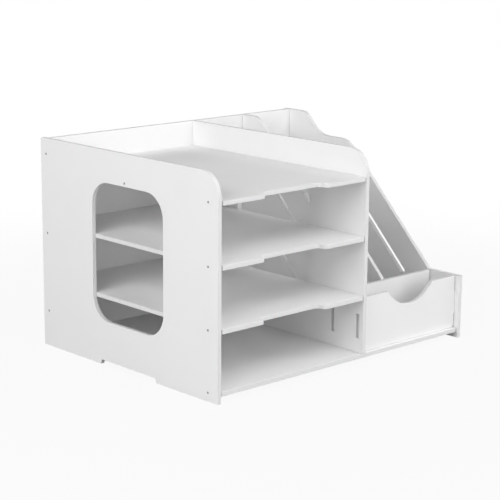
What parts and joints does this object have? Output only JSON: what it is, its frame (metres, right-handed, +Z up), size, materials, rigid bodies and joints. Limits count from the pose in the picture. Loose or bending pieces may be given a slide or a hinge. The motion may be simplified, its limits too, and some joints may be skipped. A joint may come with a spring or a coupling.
{
  "type": "desk file organizer",
  "caption": "Flat-pack desk organizer of white boards: shelved tray bay with side windows, slanted magazine bays and an open bin with a scooped front.",
  "frame": {"origin": "middle of the footprint, on the desk", "axes": "+X to the right seen from the front, from the tray bay to the magazine bays; +Y to the back; +Z up"},
  "size_m": [0.409, 0.32, 0.257],
  "materials": {
    "white_board": "smooth matt white coating on fibreboard",
    "screw": "dark satin steel"
  },
  "bodies": {
    "root": {"left_side_panel": "white_board", "middle_divider": "white_board", "magazine_divider": "white_board", "right_side_panel": "white_board", "back_panel": "white_board", "base_board": "white_board", "shelf_1": "white_board", "shelf_2": "white_board", "shelf_3": "white_board", "bin_front_panel": "white_board", "bin_back_wall": "white_board", "left_panel_screw_1": "screw", "left_panel_screw_2": "screw", "left_panel_screw_3": "screw", "left_panel_screw_4": "screw", "left_panel_screw_5": "screw", "left_panel_screw_6": "screw", "left_panel_screw_7": "screw", "left_panel_screw_8": "screw", "right_panel_screw_1": "screw", "right_panel_screw_2": "screw", "right_panel_screw_3": "screw", "right_panel_screw_4": "screw", "divider_screw_1": "screw", "divider_screw_2": "screw", "divider_screw_3": "screw", "divider_screw_4": "screw", "back_panel_screw_1": "screw", "back_panel_screw_2": "screw", "back_panel_screw_3": "screw", "back_panel_screw_4": "screw", "back_panel_screw_5": "screw", "back_panel_screw_6": "screw", "back_panel_screw_7": "screw", "back_panel_screw_8": "screw", "back_panel_screw_9": "screw", "back_panel_screw_10": "screw", "base_screw_1": "screw", "base_screw_2": "screw", "base_screw_3": "screw", "base_screw_4": "screw", "base_screw_5": "screw", "base_screw_6": "screw", "base_screw_7": "screw", "base_screw_8": "screw"}
  },
  "joints": []
}
